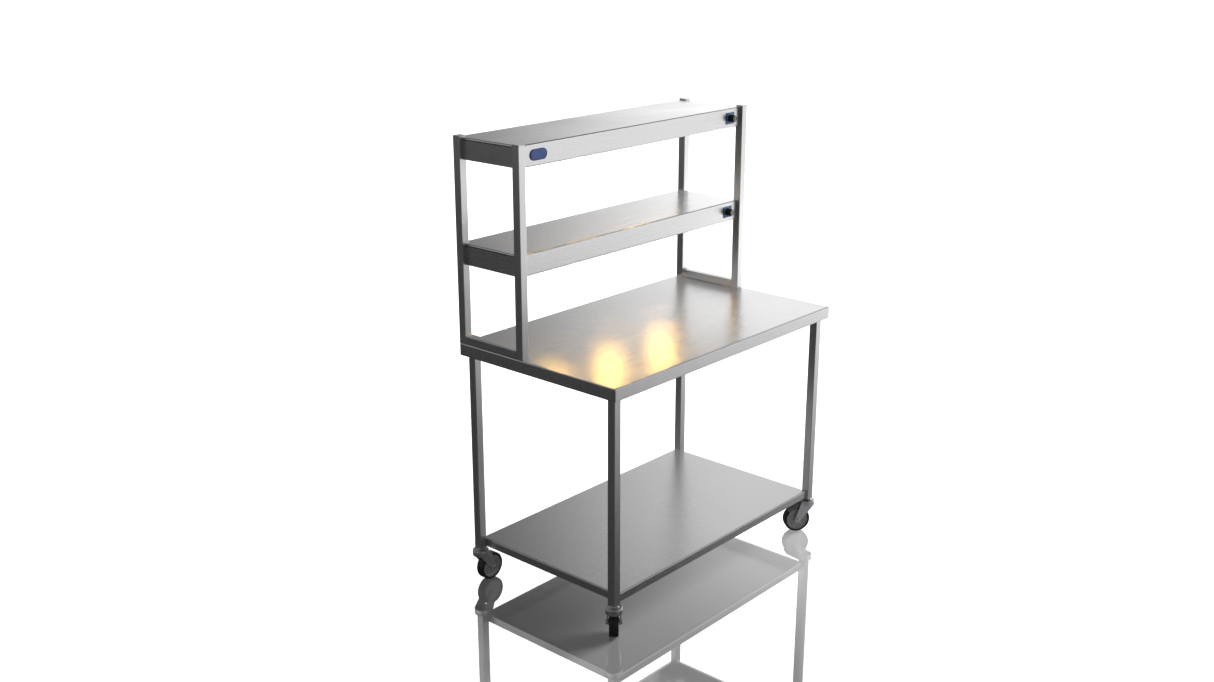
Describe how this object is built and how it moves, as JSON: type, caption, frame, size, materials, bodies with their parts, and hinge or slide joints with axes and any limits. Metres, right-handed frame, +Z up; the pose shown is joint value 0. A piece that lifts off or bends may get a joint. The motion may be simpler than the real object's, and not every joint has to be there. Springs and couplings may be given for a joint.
{
  "type": "heat lamp warmer",
  "caption": "Mobile stainless work table with a lower shelf, swivel castors and a tiered overhead gantry with heat lamps under each shelf and a control knob on each fascia.",
  "frame": {"origin": "on the floor under the middle of the worktop", "axes": "+X along the table, to the right as seen by someone standing at the front; +Y from front to rear; +Z up"},
  "size_m": [1.2, 0.7, 1.604],
  "materials": {
    "brushed_steel": "satin brushed stainless sheet",
    "steel_tube": "satin stainless tube",
    "post_cap": "satin stainless cap",
    "inner_sheet": "mill finish stainless sheet",
    "lamp_glass": "clear toughened glass",
    "reflector": "polished spun dish",
    "quartz": "glowing quartz tube",
    "ceramic": "unglazed steatite",
    "dial_blue": "blue printed plate",
    "knob_black": "black moulded",
    "zinc_steel": "bright zinc plated",
    "regulator_case": "moulded thermoset",
    "badge_blue": "domed blue badge",
    "inlet_black": "moulded black",
    "castor_zinc": "zinc plated pressing",
    "tyre_rubber": "black rubber",
    "wheel_grey": "grey moulded",
    "pedal_steel": "dark grey coated"
  },
  "bodies": {
    "table": {"badge": "badge_blue", "base_rail_left": "steel_tube", "base_rail_right": "steel_tube", "castor_stems": "castor_zinc", "gantry_bolts": "zinc_steel", "leg_front_left": "steel_tube", "leg_front_right": "steel_tube", "leg_rear_left": "steel_tube", "leg_rear_right": "steel_tube", "lower_shelf": "brushed_steel", "middle_dial_plate": "dial_blue", "middle_end_left": "brushed_steel", "middle_end_right": "brushed_steel", "middle_heat_lamps": "quartz", "middle_lamp_holders": "ceramic", "middle_lamp_tray": "inner_sheet", "middle_reflectors": "reflector", "middle_regulator": "regulator_case", "middle_safety_glasses": "lamp_glass", "middle_shell": "brushed_steel", "post_caps": "post_cap", "post_front_left": "steel_tube", "post_front_right": "steel_tube", "post_rear_left": "steel_tube", "post_rear_right": "steel_tube", "power_inlet": "inlet_black", "stiffening_channels": "inner_sheet", "upper_dial_plate": "dial_blue", "upper_end_left": "brushed_steel", "upper_end_right": "brushed_steel", "upper_heat_lamps": "quartz", "upper_lamp_holders": "ceramic", "upper_lamp_tray": "inner_sheet", "upper_reflectors": "reflector", "upper_regulator": "regulator_case", "upper_safety_glasses": "lamp_glass", "upper_shell": "brushed_steel", "worktop": "brushed_steel"},
    "castor_front_left": {"fork_front_left": "castor_zinc", "axle_front_left": "zinc_steel"},
    "wheel_front_left": {"tyre_front_left": "tyre_rubber", "wheel_centre_front_left": "wheel_grey"},
    "brake_front_left": {"brake_pedal_front_left": "pedal_steel"},
    "castor_front_right": {"fork_front_right": "castor_zinc", "axle_front_right": "zinc_steel"},
    "wheel_front_right": {"tyre_front_right": "tyre_rubber", "wheel_centre_front_right": "wheel_grey"},
    "brake_front_right": {"brake_pedal_front_right": "pedal_steel"},
    "castor_rear_left": {"fork_rear_left": "castor_zinc", "axle_rear_left": "zinc_steel"},
    "wheel_rear_left": {"tyre_rear_left": "tyre_rubber", "wheel_centre_rear_left": "wheel_grey"},
    "castor_rear_right": {"fork_rear_right": "castor_zinc", "axle_rear_right": "zinc_steel"},
    "wheel_rear_right": {"tyre_rear_right": "tyre_rubber", "wheel_centre_rear_right": "wheel_grey"},
    "upper_control": {"upper_knob": "knob_black", "upper_spindle": "zinc_steel"},
    "middle_control": {"middle_knob": "knob_black", "middle_spindle": "zinc_steel"}
  },
  "joints": [
    {"name": "swivel_front_left", "type": "hinge", "parent": "table", "child": "castor_front_left", "pos_m": [-0.565, -0.315, 0.131], "axis": [0, 0, 1], "continuous": true},
    {"name": "roll_front_left", "type": "hinge", "parent": "castor_front_left", "child": "wheel_front_left", "pos_m": [-0.53481, -0.28876, 0.05], "axis": [-0.6561, 0.7547, 0], "continuous": true},
    {"name": "brake_front_left", "type": "hinge", "parent": "castor_front_left", "child": "brake_front_left", "pos_m": [-0.54462, -0.29729, 0.117], "axis": [-0.6561, 0.7547, 0], "range_deg": [-15, 0]},
    {"name": "swivel_front_right", "type": "hinge", "parent": "table", "child": "castor_front_right", "pos_m": [0.565, -0.315, 0.131], "axis": [0, 0, 1], "continuous": true},
    {"name": "roll_front_right", "type": "hinge", "parent": "castor_front_right", "child": "wheel_front_right", "pos_m": [0.53391, -0.28983, 0.05], "axis": [-0.6293, -0.7771, 0], "continuous": true},
    {"name": "brake_front_right", "type": "hinge", "parent": "castor_front_right", "child": "brake_front_right", "pos_m": [0.54402, -0.29801, 0.117], "axis": [-0.6293, -0.7771, 0], "range_deg": [-15, 0]},
    {"name": "swivel_rear_left", "type": "hinge", "parent": "table", "child": "castor_rear_left", "pos_m": [-0.565, 0.315, 0.131], "axis": [0, 0, 1], "continuous": true},
    {"name": "roll_rear_left", "type": "hinge", "parent": "castor_rear_left", "child": "wheel_rear_left", "pos_m": [-0.525, 0.315, 0.05], "axis": [0, 1, 0], "continuous": true},
    {"name": "swivel_rear_right", "type": "hinge", "parent": "table", "child": "castor_rear_right", "pos_m": [0.565, 0.315, 0.131], "axis": [0, 0, 1], "continuous": true},
    {"name": "roll_rear_right", "type": "hinge", "parent": "castor_rear_right", "child": "wheel_rear_right", "pos_m": [0.52741, 0.30132, 0.05], "axis": [0.342, -0.9397, 0], "continuous": true},
    {"name": "upper_knob_turn", "type": "hinge", "parent": "table", "child": "upper_control", "pos_m": [0.512, 0.0625, 1.562], "axis": [0, 1, 0], "range_deg": [0, 270]},
    {"name": "middle_knob_turn", "type": "hinge", "parent": "table", "child": "middle_control", "pos_m": [0.512, 0.0625, 1.21], "axis": [0, 1, 0], "range_deg": [0, 270]}
  ]
}
